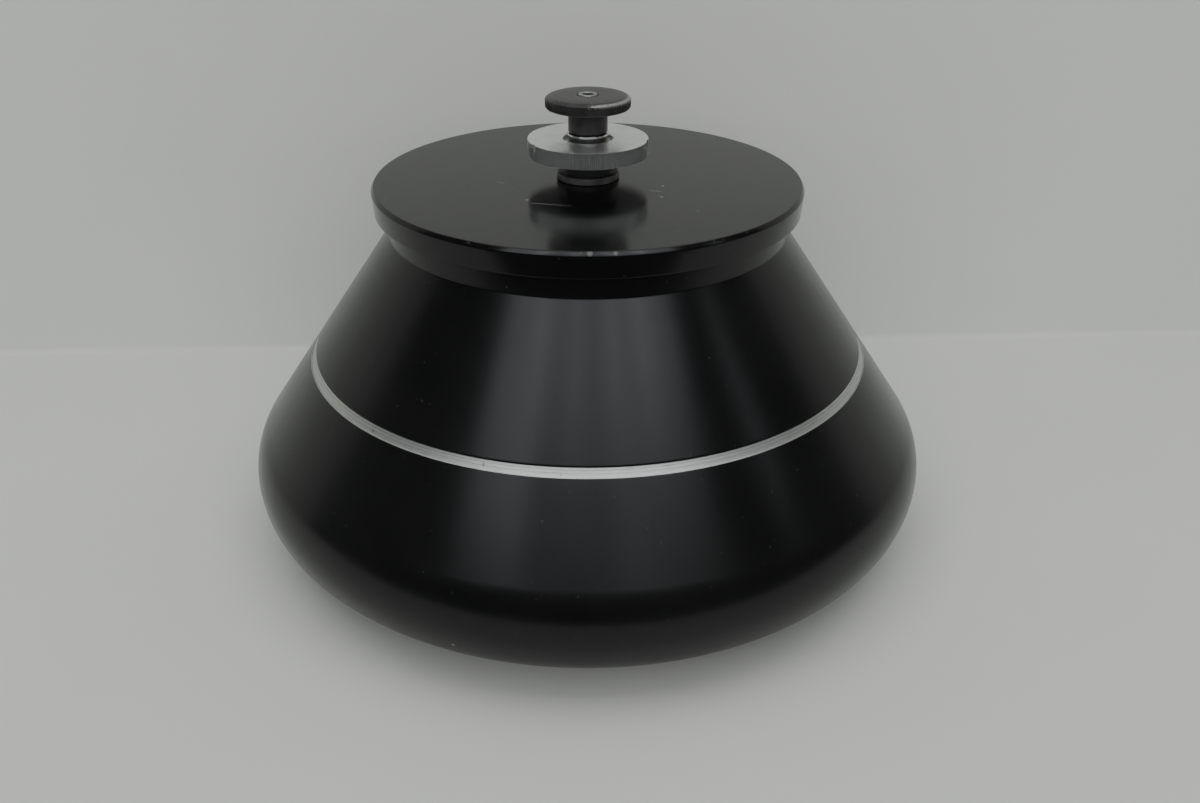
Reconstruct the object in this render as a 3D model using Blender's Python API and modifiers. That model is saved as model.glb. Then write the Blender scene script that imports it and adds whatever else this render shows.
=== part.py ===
"""Fixed-angle rotor of a laboratory centrifuge: body with eight tilted tube cavities, lid,
lid knob on a threaded sleeve, and a captive tie-down knob on a long spindle.

Metres, +Z up. The base stands on z = 0 and the spin axis is the Z axis.
"""
import math

import bmesh
import bpy
from mathutils import Matrix, Vector

MM = 0.001

# Overall shape of the body
BODY_R = 119.0 * MM
LID_TOP_Z = 126.0 * MM
BASE_RUN = 34.0 * MM
BELLY_Z = 28.0 * MM
SHOULDER_R = 22.5 * MM
CONE_ANGLE = math.radians(34.8)
CONE_RUN = 52.0 * MM
RIM_WALL = 5.0 * MM
EDGE = 0.6 * MM

# Tube cavities
CAVITY_COUNT = 8
CAVITY_R = 14.6 * MM
CAVITY_TILT = math.radians(34.0)
CAVITY_WALL = 10.3 * MM
CAVITY_FLOOR = 12.4 * MM
CAVITY_DEPTH = 80.0 * MM
CUT_OVERRUN = 8.0 * MM
CUT_PAST = 1.0 * MM

# Marker groove round the cone
GROOVE_Z = 68.4 * MM
GROOVE_WIDTH = 3.2 * MM
GROOVE_DEPTH = 0.5 * MM

# Lid
LID_THICK = 8.4 * MM
LID_OVERHANG = 4.0 * MM
LID_CHAMFER_RUN = 0.8 * MM
LID_SIDE_TAPER = 0.6 * MM
LID_CHAMFER = 1.3 * MM
LID_PLATE = 6.0 * MM
LID_BOSS_WALL = 8.4 * MM
LID_BOSS_DEPTH = 12.0 * MM
LID_BOSS_FLARE = 2.0 * MM
SPIGOT_DEPTH = 6.0 * MM
SPIGOT_WALL = 8.0 * MM
SPIGOT_GAP = 0.6 * MM

# Lid collar, lid knob and threaded sleeve, as heights over the lid's top face
COLLAR_WALL = 1.2 * MM
COLLAR_LIP = 0.8 * MM
COLLAR_RISE = 2.2 * MM
SLEEVE_R = 7.8 * MM
SLEEVE_BORE_CLEAR = 0.5 * MM
SLEEVE_HEAD_LIP = 1.8 * MM
SLEEVE_NOSE_WALL = 1.7 * MM
SLEEVE_END_Z = 80.0 * MM
KNOB_R = 20.0 * MM
KNOB_FOOT = 8.0 * MM
KNOB_HEIGHT = 5.5 * MM
KNOB_WELL_LIP = 1.3 * MM
KNOB_WELL_DEPTH = 2.2 * MM

# Tie-down knob and its spindle
SPINDLE_R = 4.8 * MM
SPINDLE_END_Z = 24.0 * MM
TIE_R = 14.0 * MM
TIE_FOOT = 23.2 * MM
TIE_HEIGHT = 4.3 * MM
TIE_NECK_WALL = 1.7 * MM
TIE_FLARE = 1.5 * MM
TIE_FLARE_H = 1.6 * MM
TIE_CAP = 2.7 * MM
THRUST_FLANGE = 0.7 * MM
THRUST_BUSH_TOP = 15.2 * MM
THRUST_FLANGE_H = 0.8 * MM
THRUST_WALL = 1.1 * MM
CENTRE_BUSH_R = 3.2 * MM
CENTRE_SCREW_R = 1.5 * MM
BUSH_PROUD = 0.2 * MM
SCREW_SUNK = 1.0 * MM
TIE_TRAVEL = 9.0 * MM

# Parts in the middle of the body
BOSS_WALL = 7.7 * MM
POST_WALL = 8.9 * MM
POST_RISE = 8.0 * MM
POST_TOP_Z = 100.0 * MM
POST_FOOT_Z = 72.0 * MM
MID_BORE_R = 12.0 * MM
HUB_R = 24.0 * MM
HUB_FOOT_Z = 5.0 * MM
HUB_TOP_Z = 46.0 * MM
HUB_ROOF = 8.0 * MM
HUB_BORE_LOW_R = 13.0 * MM
HUB_BORE_HIGH_R = 11.0 * MM
FLANGE_LIP = 10.0 * MM
FLANGE_H = 6.0 * MM
SCREW_COUNT = 4
SCREW_R = 1.5 * MM
SCREW_HEAD_R = 2.6 * MM
SCREW_HEAD_H = 2.6 * MM
SCREW_END_Z = 18.0 * MM
PIN_COUNT = 2
PIN_INSET = 5.0 * MM
PIN_R = 2.0 * MM
PIN_FOOT_Z = 1.0 * MM
PIN_TOP_Z = 14.0 * MM
SPEED_RING_LAND = 6.0 * MM
SPEED_RING_WIDTH = 22.0 * MM
SPEED_RING_H = 0.8 * MM
SPEED_RING_FOOT_Z = 0.9 * MM

# Clearances, rings and clips
GAP = 0.3 * MM
LID_CORD_R = 1.5 * MM
SMALL_CORD_R = 0.45 * MM
SEAL_PROUD = 0.2 * MM
SLEEVE_SEAL_DROP = 4.0 * MM
SPINDLE_SEAL_RISE = 4.0 * MM
CLIP_H = 0.8 * MM
CLIP_SEAT = 0.7 * MM
CLIP_PLAY = 1.0 * MM
SLEEVE_CLIP_LIP = 2.6 * MM
SPINDLE_CLIP_LIP = 1.8 * MM

# Facets round each piece
BODY_STEPS = 48
KNOB_STEPS = 36
SMALL_STEPS = 20
PIN_STEPS = 12
CAVITY_STEPS = 20
TIP_STEPS = 5
SHOULDER_STEPS = 4
BELLY_STEPS = 7
CORD_SIDES = 6

# Sizes that follow from the ones above
BASE_R = BODY_R - BASE_RUN
NECK_R = BODY_R - CONE_RUN
RIM_R = NECK_R - RIM_WALL
CAVITY_END_R = BODY_R - CAVITY_R - CAVITY_WALL
CAVITY_END_Z = CAVITY_FLOOR + CAVITY_R
LID_TOP_R = NECK_R + LID_OVERHANG
LID_SIDE_R = LID_TOP_R + LID_CHAMFER_RUN
LID_FOOT_R = LID_SIDE_R - LID_SIDE_TAPER
LID_FOOT_Z = LID_TOP_Z - LID_THICK
RIM_Z = LID_FOOT_Z - GAP
TAN_CONE = math.tan(CONE_ANGLE)
TAN_TILT = math.tan(CAVITY_TILT)
SPIGOT_R = RIM_R - SPIGOT_GAP
SLEEVE_HOLE_R = SLEEVE_R + GAP
SLEEVE_HEAD_R = SLEEVE_R + SLEEVE_HEAD_LIP
SLEEVE_CLIP_R = SLEEVE_R + SLEEVE_CLIP_LIP
SLEEVE_BORE_R = SPINDLE_R + SLEEVE_BORE_CLEAR
SLEEVE_NOSE_R = SLEEVE_BORE_R + SLEEVE_NOSE_WALL
LID_BORE_R = SLEEVE_HOLE_R + COLLAR_WALL + GAP
LID_BOSS_R = LID_BORE_R + LID_BOSS_WALL
COLLAR_R = LID_BORE_R + COLLAR_LIP
KNOB_WELL_R = SLEEVE_NOSE_R + KNOB_WELL_LIP
TIE_NECK_R = SPINDLE_R + TIE_NECK_WALL
TIE_FLARE_R = TIE_NECK_R + TIE_FLARE
THRUST_SHANK_R = SPINDLE_R + GAP + THRUST_WALL
THRUST_BUSH_R = THRUST_SHANK_R + THRUST_FLANGE
SPINDLE_CLIP_R = SPINDLE_R + SPINDLE_CLIP_LIP
POST_R = SLEEVE_HOLE_R + POST_WALL
BOSS_R = POST_R + GAP + BOSS_WALL
BOSS_TOP_Z = POST_TOP_Z - POST_RISE
FLANGE_R = HUB_R + FLANGE_LIP
SCREW_CIRCLE_R = (HUB_R + FLANGE_R) / 2.0
PIN_CIRCLE_R = HUB_BORE_LOW_R + PIN_INSET
SPEED_RING_IN_R = FLANGE_R + SPEED_RING_LAND
SPEED_RING_OUT_R = SPEED_RING_IN_R + SPEED_RING_WIDTH


def clear_objects():
    for obj in list(bpy.data.objects):
        bpy.data.objects.remove(obj, do_unlink=True)


def make_collection(name):
    group = bpy.data.collections.new(name)
    bpy.context.scene.collection.children.link(group)
    return group


def make_material(name, colour, roughness, metallic):
    mat = bpy.data.materials.new(name)
    mat.use_nodes = True
    shader = mat.node_tree.nodes["Principled BSDF"]
    shader.inputs["Base Color"].default_value = (*colour, 1.0)
    shader.inputs["Roughness"].default_value = roughness
    shader.inputs["Metallic"].default_value = metallic
    mat.diffuse_color = (*colour, 1.0)
    return mat


def turned(name, outline, steps, mat, at=(0.0, 0.0)):
    """A turned piece: the outline runs down its outer side and back up its bore."""
    mesh = bpy.data.meshes.new(name)
    points = [(r, 0.0, z) for r, z in outline]
    edges = [(i, i + 1) for i in range(len(points) - 1)]
    hollow = outline[0][0] > 0.0
    if hollow:
        edges.append((len(points) - 1, 0))
    mesh.from_pydata(points, edges, [])
    obj = bpy.data.objects.new(name, mesh)
    obj.location = (at[0], at[1], 0.0)
    ROTOR.objects.link(obj)
    obj.data.materials.append(mat)
    screw = obj.modifiers.new("turn", "SCREW")
    screw.axis = "Z"
    screw.angle = 2.0 * math.pi
    screw.steps = steps
    screw.render_steps = steps
    screw.use_merge_vertices = True
    screw.merge_threshold = 0.00001
    screw.use_smooth_shade = True
    return obj


def cut(obj, cutter):
    mod = obj.modifiers.new(cutter.name, "BOOLEAN")
    mod.operation = "DIFFERENCE"
    mod.solver = "EXACT"
    mod.object = cutter


def make_cutter(name, solids):
    """One cutting object from a list of (outline from the axis to the axis, steps, matrix)."""
    bm = bmesh.new()
    for outline, steps, matrix in solids:
        verts = [bm.verts.new((r, 0.0, z)) for r, z in outline]
        edges = [bm.edges.new(pair) for pair in zip(verts, verts[1:])]
        bmesh.ops.spin(
            bm, geom=verts + edges, cent=(0.0, 0.0, 0.0), axis=(0.0, 0.0, 1.0),
            angle=2.0 * math.pi, steps=steps, use_merge=True)
        fresh = [v for v in bm.verts if not v.tag]
        bmesh.ops.remove_doubles(bm, verts=fresh, dist=0.00001)
        fresh = [v for v in bm.verts if not v.tag]
        bmesh.ops.transform(bm, matrix=matrix, verts=fresh)
        for vert in fresh:
            vert.tag = True
    bmesh.ops.recalc_face_normals(bm, faces=bm.faces)
    mesh = bpy.data.meshes.new(name)
    bm.to_mesh(mesh)
    bm.free()
    obj = bpy.data.objects.new(name, mesh)
    obj.hide_render = True
    obj.display_type = "WIRE"
    CUTTERS.objects.link(obj)
    return obj


def drill(radius, low, high):
    """The outline of a plain round hole between two heights."""
    return [(0.0, high), (radius, high), (radius, low), (0.0, low)]


def on_circle(radius, count, index, phase=0.0):
    angle = phase + 2.0 * math.pi * index / count
    return radius * math.cos(angle), radius * math.sin(angle)


def body_outline():
    """The body's section, from the rim down the outside and back up the middle."""
    shoulder_x = BODY_R - SHOULDER_R
    tangent_r = shoulder_x + SHOULDER_R * math.cos(CONE_ANGLE)
    tangent_z = BELLY_Z + SHOULDER_R * math.sin(CONE_ANGLE)
    cone_top_z = tangent_z + (tangent_r - NECK_R) / TAN_CONE
    groove_r = tangent_r - (GROOVE_Z - tangent_z) * TAN_CONE
    along_r = math.sin(CONE_ANGLE) * GROOVE_WIDTH / 2.0
    along_z = math.cos(CONE_ANGLE) * GROOVE_WIDTH / 2.0
    in_r = math.cos(CONE_ANGLE) * GROOVE_DEPTH
    in_z = math.sin(CONE_ANGLE) * GROOVE_DEPTH
    line = [(NECK_R - EDGE, RIM_Z), (NECK_R, RIM_Z - EDGE), (NECK_R, cone_top_z)]
    line.append((groove_r - along_r, GROOVE_Z + along_z))
    line.append((groove_r - along_r - in_r, GROOVE_Z + along_z - in_z))
    line.append((groove_r + along_r - in_r, GROOVE_Z - along_z - in_z))
    line.append((groove_r + along_r, GROOVE_Z - along_z))
    for i in range(SHOULDER_STEPS):
        angle = CONE_ANGLE * (1.0 - i / SHOULDER_STEPS)
        r = shoulder_x + SHOULDER_R * math.cos(angle)
        line.append((r, BELLY_Z + SHOULDER_R * math.sin(angle)))
    for i in range(BELLY_STEPS + 1):
        angle = math.pi / 2.0 * (1.0 - i / BELLY_STEPS)
        r = BASE_R + (BODY_R - BASE_R) * math.sin(angle)
        line.append((r, BELLY_Z * (1.0 - math.cos(angle))))
    return line + base_outline() + bowl_outline()


def base_outline():
    """The underside: the recess for the speed ring and the stepped bore for the hub."""
    ring_roof = SPEED_RING_FOOT_Z + SPEED_RING_H + GAP
    flange_roof = HUB_FOOT_Z + FLANGE_H + GAP
    return [
        (SPEED_RING_OUT_R + GAP, 0.0),
        (SPEED_RING_OUT_R + GAP, ring_roof),
        (SPEED_RING_IN_R - GAP, ring_roof),
        (SPEED_RING_IN_R - GAP, 0.0),
        (FLANGE_R + GAP, 0.0),
        (FLANGE_R + GAP, flange_roof),
        (HUB_R + GAP, flange_roof),
        (HUB_R + GAP, HUB_TOP_Z + GAP),
        (MID_BORE_R, HUB_TOP_Z + GAP),
        (MID_BORE_R, POST_FOOT_Z - GAP),
        (POST_R + GAP, POST_FOOT_Z - GAP),
    ]


def bowl_outline():
    """The boss and the funnel whose wall is square to the cavities, up to the rim."""
    mouth_r = CAVITY_END_R - CAVITY_DEPTH * math.sin(CAVITY_TILT)
    mouth_z = CAVITY_END_Z + CAVITY_DEPTH * math.cos(CAVITY_TILT)
    return [
        (POST_R + GAP, BOSS_TOP_Z),
        (BOSS_R, BOSS_TOP_Z),
        (BOSS_R, mouth_z + (BOSS_R - mouth_r) * TAN_TILT),
        (RIM_R, mouth_z + (RIM_R - mouth_r) * TAN_TILT),
        (RIM_R, RIM_Z - EDGE),
        (RIM_R + EDGE, RIM_Z),
    ]


def make_body():
    body = turned("rotor_body", body_outline(), BODY_STEPS, BLACK)
    mouth = CAVITY_DEPTH + CUT_OVERRUN
    tip = [(0.0, mouth), (CAVITY_R, mouth)]
    for i in range(TIP_STEPS):
        angle = math.pi / 2.0 * i / TIP_STEPS
        tip.append((CAVITY_R * math.cos(angle), -CAVITY_R * math.sin(angle)))
    tip.append((0.0, -CAVITY_R))
    solids = []
    for i in range(CAVITY_COUNT):
        spin = Matrix.Rotation(2.0 * math.pi * i / CAVITY_COUNT, 4, "Z")
        place = Matrix.Translation(Vector((CAVITY_END_R, 0.0, CAVITY_END_Z)))
        lean = Matrix.Rotation(-CAVITY_TILT, 4, "Y")
        solids.append((tip, CAVITY_STEPS, spin @ place @ lean))
    cut(body, make_cutter("cavity_cutter", solids))
    roof = HUB_FOOT_Z + FLANGE_H
    cut(body, make_cutter("tapped_hole_cutter", screw_holes(roof, SCREW_END_Z + GAP)))
    return body


def screw_holes(low, high):
    solids = []
    for i in range(SCREW_COUNT):
        x, y = on_circle(SCREW_CIRCLE_R, SCREW_COUNT, i, math.pi / SCREW_COUNT)
        place = Matrix.Translation(Vector((x, y, 0.0)))
        solids.append((drill(SCREW_R + GAP, low, high), PIN_STEPS, place))
    return solids


def make_hub():
    """The drive hub with its conical socket, the two drive pins and the four screws."""
    top = HUB_TOP_Z - HUB_ROOF
    hub = turned("drive_hub", [
        (HUB_R - EDGE, HUB_TOP_Z), (HUB_R, HUB_TOP_Z - EDGE),
        (HUB_R, HUB_FOOT_Z + FLANGE_H), (FLANGE_R, HUB_FOOT_Z + FLANGE_H),
        (FLANGE_R, HUB_FOOT_Z), (HUB_BORE_LOW_R, HUB_FOOT_Z),
        (HUB_BORE_HIGH_R, top), (SPINDLE_R + 2.0 * GAP, top),
        (SPINDLE_R + 2.0 * GAP, HUB_TOP_Z),
    ], KNOB_STEPS, STEEL)
    low = HUB_FOOT_Z - CUT_PAST
    cut(hub, make_cutter("flange_hole_cutter",
                         screw_holes(low, HUB_FOOT_Z + FLANGE_H + CUT_PAST)))
    holes = []
    for i in range(PIN_COUNT):
        x, y = on_circle(PIN_CIRCLE_R, PIN_COUNT, i)
        place = Matrix.Translation(Vector((x, y, 0.0)))
        holes.append((drill(PIN_R + GAP, low, PIN_TOP_Z + GAP), PIN_STEPS, place))
        turned(f"drive_pin_{i + 1}", [
            (0.0, PIN_TOP_Z), (PIN_R, PIN_TOP_Z), (PIN_R, PIN_FOOT_Z + EDGE),
            (PIN_R - EDGE, PIN_FOOT_Z), (0.0, PIN_FOOT_Z),
        ], PIN_STEPS, BRIGHT, (x, y))
    cut(hub, make_cutter("pin_hole_cutter", holes))
    head_top = HUB_FOOT_Z - GAP
    for i in range(SCREW_COUNT):
        turned(f"hub_screw_{i + 1}", [
            (0.0, SCREW_END_Z), (SCREW_R, SCREW_END_Z), (SCREW_R, head_top),
            (SCREW_HEAD_R, head_top), (SCREW_HEAD_R, head_top - SCREW_HEAD_H),
            (0.0, head_top - SCREW_HEAD_H),
        ], PIN_STEPS, SCREW_BLACK,
            on_circle(SCREW_CIRCLE_R, SCREW_COUNT, i, math.pi / SCREW_COUNT))


def make_centre():
    """The threaded post in the boss and the segmented ring on the underside."""
    turned("threaded_post", [
        (POST_R - EDGE, POST_TOP_Z), (POST_R, POST_TOP_Z - EDGE), (POST_R, POST_FOOT_Z),
        (SLEEVE_HOLE_R, POST_FOOT_Z), (SLEEVE_HOLE_R, POST_TOP_Z - EDGE),
        (SLEEVE_HOLE_R + EDGE, POST_TOP_Z),
    ], SMALL_STEPS, STEEL)
    top = SPEED_RING_FOOT_Z + SPEED_RING_H
    turned("speed_ring", [
        (SPEED_RING_OUT_R, top), (SPEED_RING_OUT_R, SPEED_RING_FOOT_Z),
        (SPEED_RING_IN_R, SPEED_RING_FOOT_Z), (SPEED_RING_IN_R, top),
    ], BODY_STEPS, DISC)


def o_ring(name, centre_r, centre_z, cord_r, steps):
    line = []
    for i in range(CORD_SIDES):
        angle = -2.0 * math.pi * (i + 0.5) / CORD_SIDES
        line.append((centre_r + cord_r * math.cos(angle), centre_z + cord_r * math.sin(angle)))
    turned(name, line, steps, RUBBER)


def make_lid():
    """The lid with the seal groove in its spigot, its seal and the collar in its bore."""
    seal_z = LID_FOOT_Z - SPIGOT_DEPTH / 2.0
    groove_half = LID_CORD_R + GAP
    seal_r = SPIGOT_R + GAP - LID_CORD_R
    groove_r = seal_r - LID_CORD_R - GAP
    spigot_foot = LID_FOOT_Z - SPIGOT_DEPTH
    plate_z = LID_TOP_Z - LID_PLATE
    boss_z = LID_TOP_Z - LID_BOSS_DEPTH
    turned("lid", [
        (LID_TOP_R, LID_TOP_Z), (LID_SIDE_R, LID_TOP_Z - LID_CHAMFER),
        (LID_FOOT_R, LID_FOOT_Z), (SPIGOT_R, LID_FOOT_Z),
        (SPIGOT_R, seal_z + groove_half), (groove_r, seal_z + groove_half),
        (groove_r, seal_z - groove_half), (SPIGOT_R, seal_z - groove_half),
        (SPIGOT_R, spigot_foot), (SPIGOT_R - SPIGOT_WALL, spigot_foot),
        (SPIGOT_R - SPIGOT_WALL, plate_z), (LID_BOSS_R + LID_BOSS_FLARE, plate_z),
        (LID_BOSS_R, boss_z), (LID_BORE_R, boss_z), (LID_BORE_R, LID_TOP_Z),
    ], BODY_STEPS, BLACK)
    o_ring("lid_o_ring", seal_r, seal_z, LID_CORD_R, BODY_STEPS)
    turned("lid_collar", [
        (COLLAR_R - EDGE, LID_TOP_Z + COLLAR_RISE),
        (COLLAR_R, LID_TOP_Z + COLLAR_RISE - EDGE),
        (COLLAR_R, LID_TOP_Z + GAP), (LID_BORE_R - GAP, LID_TOP_Z + GAP),
        (LID_BORE_R - GAP, boss_z), (SLEEVE_HOLE_R, boss_z),
        (SLEEVE_HOLE_R, LID_TOP_Z + COLLAR_RISE),
    ], SMALL_STEPS, COLLAR)


def make_lid_knob():
    """The lid knob, the threaded sleeve under it, and the sleeve's seal and clip."""
    foot = LID_TOP_Z + KNOB_FOOT
    top = foot + KNOB_HEIGHT
    well = top - KNOB_WELL_DEPTH
    head_foot = LID_TOP_Z + COLLAR_RISE + GAP
    seal_z = LID_TOP_Z - SLEEVE_SEAL_DROP
    seal_r = SLEEVE_R - SMALL_CORD_R
    groove_r = seal_r - SMALL_CORD_R - GAP
    groove_half = SMALL_CORD_R + GAP
    clip_top = LID_TOP_Z - LID_BOSS_DEPTH - GAP
    clip_foot = clip_top - CLIP_H
    clip_seat_r = SLEEVE_R - CLIP_SEAT
    turned("lid_knob", [
        (KNOB_R - EDGE, top), (KNOB_R, top - EDGE), (KNOB_R, foot + EDGE),
        (KNOB_R - EDGE, foot), (SLEEVE_NOSE_R + GAP, foot), (SLEEVE_NOSE_R + GAP, well),
        (KNOB_WELL_R, well), (KNOB_WELL_R, top),
    ], KNOB_STEPS, SILVER)
    turned("knob_sleeve", [
        (SLEEVE_NOSE_R, well - GAP), (SLEEVE_NOSE_R, foot - GAP),
        (SLEEVE_HEAD_R, foot - GAP), (SLEEVE_HEAD_R, head_foot), (SLEEVE_R, head_foot),
        (SLEEVE_R, seal_z + groove_half), (groove_r, seal_z + groove_half),
        (groove_r, seal_z - groove_half), (SLEEVE_R, seal_z - groove_half),
        (SLEEVE_R, clip_top + GAP), (clip_seat_r, clip_top + GAP),
        (clip_seat_r, clip_foot - GAP), (SLEEVE_R, clip_foot - GAP),
        (SLEEVE_R, SLEEVE_END_Z + EDGE), (SLEEVE_R - EDGE, SLEEVE_END_Z),
        (SLEEVE_BORE_R, SLEEVE_END_Z), (SLEEVE_BORE_R, well - GAP),
    ], SMALL_STEPS, DARK_STEEL)
    o_ring("sleeve_o_ring", seal_r, seal_z, SMALL_CORD_R, SMALL_STEPS)
    turned("sleeve_clip", [
        (SLEEVE_CLIP_R, clip_top), (SLEEVE_CLIP_R, clip_foot),
        (clip_seat_r + GAP, clip_foot), (clip_seat_r + GAP, clip_top),
    ], SMALL_STEPS, BRIGHT)


def make_tie_down():
    """The tie-down knob, its spindle, and the rings, bush and screw carried on them."""
    foot = LID_TOP_Z + TIE_FOOT
    top = foot + TIE_HEIGHT
    bush_top = LID_TOP_Z + THRUST_BUSH_TOP
    neck_foot = bush_top + GAP
    bore_r = SPINDLE_R + GAP
    cap_foot = top - TIE_CAP
    hole_r = CENTRE_BUSH_R + GAP
    turned("tie_down_knob", [
        (TIE_R - 2.0 * EDGE, top), (TIE_R, top - 1.5 * EDGE), (TIE_R, foot + EDGE),
        (TIE_R - EDGE, foot), (TIE_FLARE_R, foot), (TIE_NECK_R, foot - TIE_FLARE_H),
        (TIE_NECK_R, neck_foot), (bore_r, neck_foot), (bore_r, cap_foot),
        (hole_r, cap_foot), (hole_r, top),
    ], KNOB_STEPS, BLACK)
    well = LID_TOP_Z + KNOB_FOOT + KNOB_HEIGHT - KNOB_WELL_DEPTH
    turned("thrust_bush", [
        (THRUST_BUSH_R, bush_top), (THRUST_BUSH_R, bush_top - THRUST_FLANGE_H),
        (THRUST_SHANK_R, bush_top - THRUST_FLANGE_H), (THRUST_SHANK_R, well + GAP),
        (bore_r, well + GAP), (bore_r, bush_top),
    ], SMALL_STEPS, BRIGHT)
    seal_z = LID_TOP_Z + SPINDLE_SEAL_RISE
    seal_r = SPINDLE_R + SEAL_PROUD - SMALL_CORD_R
    groove_r = seal_r - SMALL_CORD_R - GAP
    groove_half = SMALL_CORD_R + GAP
    clip_top = SLEEVE_END_Z - TIE_TRAVEL - CLIP_PLAY
    clip_foot = clip_top - CLIP_H
    seat_r = SPINDLE_R - CLIP_SEAT
    turned("tie_down_spindle", [
        (0.0, cap_foot - GAP), (SPINDLE_R, cap_foot - GAP),
        (SPINDLE_R, seal_z + groove_half), (groove_r, seal_z + groove_half),
        (groove_r, seal_z - groove_half), (SPINDLE_R, seal_z - groove_half),
        (SPINDLE_R, clip_top + GAP), (seat_r, clip_top + GAP),
        (seat_r, clip_foot - GAP), (SPINDLE_R, clip_foot - GAP),
        (SPINDLE_R, SPINDLE_END_Z + EDGE), (SPINDLE_R - EDGE, SPINDLE_END_Z),
        (0.0, SPINDLE_END_Z),
    ], SMALL_STEPS, STEEL)
    o_ring("spindle_o_ring", seal_r, seal_z, SMALL_CORD_R, SMALL_STEPS)
    turned("spindle_clip", [
        (SPINDLE_CLIP_R, clip_top), (SPINDLE_CLIP_R, clip_foot),
        (seat_r + GAP, clip_foot), (seat_r + GAP, clip_top),
    ], SMALL_STEPS, BRIGHT)
    screw_r = CENTRE_SCREW_R
    turned("knob_bush", [
        (CENTRE_BUSH_R, top + BUSH_PROUD), (CENTRE_BUSH_R, cap_foot),
        (screw_r + GAP, cap_foot), (screw_r + GAP, top + BUSH_PROUD),
    ], PIN_STEPS, BRASS)
    turned("centre_screw", [
        (0.0, top - SCREW_SUNK), (screw_r, top - SCREW_SUNK), (screw_r, cap_foot),
        (0.0, cap_foot),
    ], PIN_STEPS, SCREW_BLACK)


clear_objects()
ROTOR = make_collection("centrifuge_rotor")
CUTTERS = make_collection("cutters")
BLACK = make_material("black_anodised", (0.018, 0.018, 0.019), 0.38, 0.35)
SILVER = make_material("bare_aluminium", (0.62, 0.62, 0.61), 0.34, 1.0)
STEEL = make_material("turned_steel", (0.46, 0.46, 0.45), 0.32, 1.0)
DARK_STEEL = make_material("dark_steel", (0.05, 0.05, 0.05), 0.35, 0.9)
BRIGHT = make_material("bright_steel", (0.66, 0.65, 0.63), 0.22, 1.0)
SCREW_BLACK = make_material("black_steel", (0.03, 0.03, 0.03), 0.45, 0.8)
BRASS = make_material("brass", (0.62, 0.48, 0.26), 0.3, 1.0)
COLLAR = make_material("black_collar", (0.022, 0.022, 0.023), 0.4, 0.3)
RUBBER = make_material("black_rubber", (0.015, 0.015, 0.015), 0.7, 0.0)
DISC = make_material("speed_disc", (0.08, 0.08, 0.085), 0.45, 0.0)
make_body()
make_hub()
make_centre()
make_lid()
make_lid_knob()
make_tie_down()
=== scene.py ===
"""Looks of the fixed-angle rotor: smooth turned pieces, knurled knobs, threads, finishes, studio."""
import math

import bmesh
import bpy
from mathutils import Matrix, Vector


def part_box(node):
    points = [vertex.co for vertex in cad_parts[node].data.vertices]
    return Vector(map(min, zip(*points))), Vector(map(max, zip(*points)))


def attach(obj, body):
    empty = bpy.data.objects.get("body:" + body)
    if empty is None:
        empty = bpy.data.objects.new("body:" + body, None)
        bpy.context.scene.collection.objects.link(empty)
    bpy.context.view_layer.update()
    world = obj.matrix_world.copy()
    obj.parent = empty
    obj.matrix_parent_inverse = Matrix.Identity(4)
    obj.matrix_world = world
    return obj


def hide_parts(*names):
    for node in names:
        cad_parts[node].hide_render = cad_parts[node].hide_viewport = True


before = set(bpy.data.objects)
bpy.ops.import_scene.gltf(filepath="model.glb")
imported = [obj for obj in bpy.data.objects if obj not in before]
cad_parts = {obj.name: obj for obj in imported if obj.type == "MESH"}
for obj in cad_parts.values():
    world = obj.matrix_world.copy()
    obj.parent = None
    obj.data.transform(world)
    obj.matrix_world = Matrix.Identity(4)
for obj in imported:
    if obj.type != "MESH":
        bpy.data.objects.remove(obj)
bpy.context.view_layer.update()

MM = 0.001
TURN = 2.0 * math.pi


def foot(node):
    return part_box(node)[0][2]


def top(node):
    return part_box(node)[1][2]


def radius(node):
    low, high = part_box(node)
    return (high[0] - low[0]) / 2.0


def centre(node):
    low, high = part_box(node)
    return (low[0] + high[0]) / 2.0, (low[1] + high[1]) / 2.0


# Shape of the body
BODY_R = radius("rotor_body")
RIM_Z = top("rotor_body")
BASE_R = 85.0 * MM
BELLY_Z = 28.0 * MM
SHOULDER_R = 22.5 * MM
CONE_ANGLE = math.radians(34.8)
NECK_R = 67.0 * MM
RIM_BORE_R = 62.0 * MM
BAND_Z = 68.4 * MM
BAND_WIDTH = 3.2 * MM
BAND_DEPTH = 0.35 * MM

# Underside of the body and the stepped bore for the hub and the post
RING_RECESS_R = 62.3 * MM
RING_RECESS_IN_R = 39.7 * MM
RING_RECESS_TOP_Z = 2.0 * MM
HUB_SEAT_R = 34.3 * MM
HUB_SEAT_Z = 11.3 * MM
HUB_BORE_R = 24.3 * MM
HUB_BORE_Z = 46.3 * MM
CORE_BORE_R = 12.0 * MM
POST_SEAT_Z = 71.7 * MM
POST_BORE_R = 17.3 * MM
SCREW_BORE_R = 1.8 * MM
PIN_BORE_R = 2.2 * MM
HEX_R = 1.3 * MM
HEX_DEPTH = 1.4 * MM
CUT_PAST = 1.0 * MM

# Tube cavities and bowl
CAVITY_COUNT = 8
CAVITY_R = 14.6 * MM
CAVITY_TILT = math.radians(34.0)
CAVITY_END_R = 94.1 * MM
CAVITY_END_Z = 27.0 * MM
CAVITY_DEPTH = 80.0 * MM
BOSS_R = 25.0 * MM
BOSS_TOP_Z = 92.0 * MM

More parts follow.
